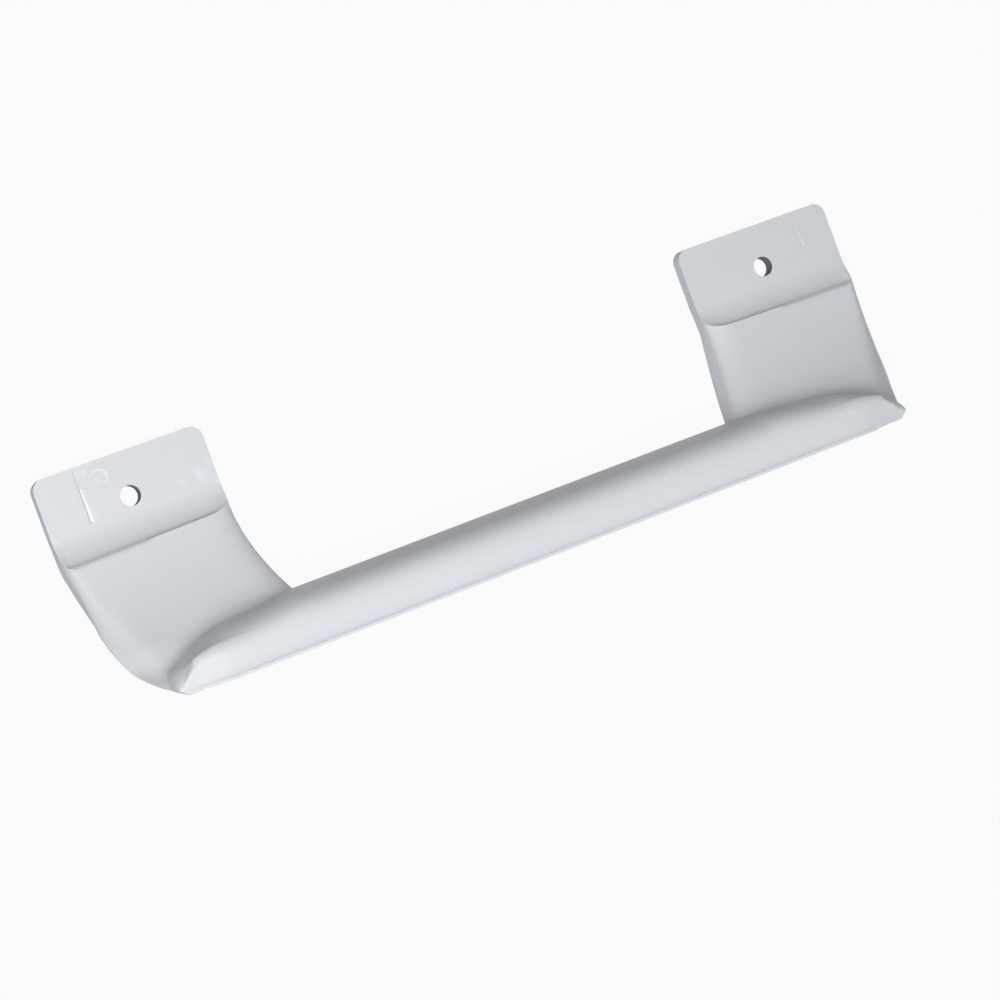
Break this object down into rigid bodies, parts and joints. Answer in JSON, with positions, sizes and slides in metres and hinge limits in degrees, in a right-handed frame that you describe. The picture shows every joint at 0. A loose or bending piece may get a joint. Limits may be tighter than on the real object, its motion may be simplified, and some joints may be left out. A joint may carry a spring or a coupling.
{
  "type": "refrigerator door handle",
  "caption": "One-piece moulded door handle: screw tabs, legs that sweep forward like a quarter pipe, and a D-section grip bar with tapered noses.",
  "frame": {"origin": "midway between the centres of the screw holes, in the plane of the tabs' bearing faces", "axes": "+X along the grip bar, +Y from the bar towards the free edges of the tabs, +Z out of the bearing faces towards the door"},
  "size_m": [0.2144, 0.0578, 0.0327],
  "materials": {
    "moulded_plastic": "satin, as moulded"
  },
  "bodies": {
    "root": {"handle": "moulded_plastic"}
  },
  "joints": []
}
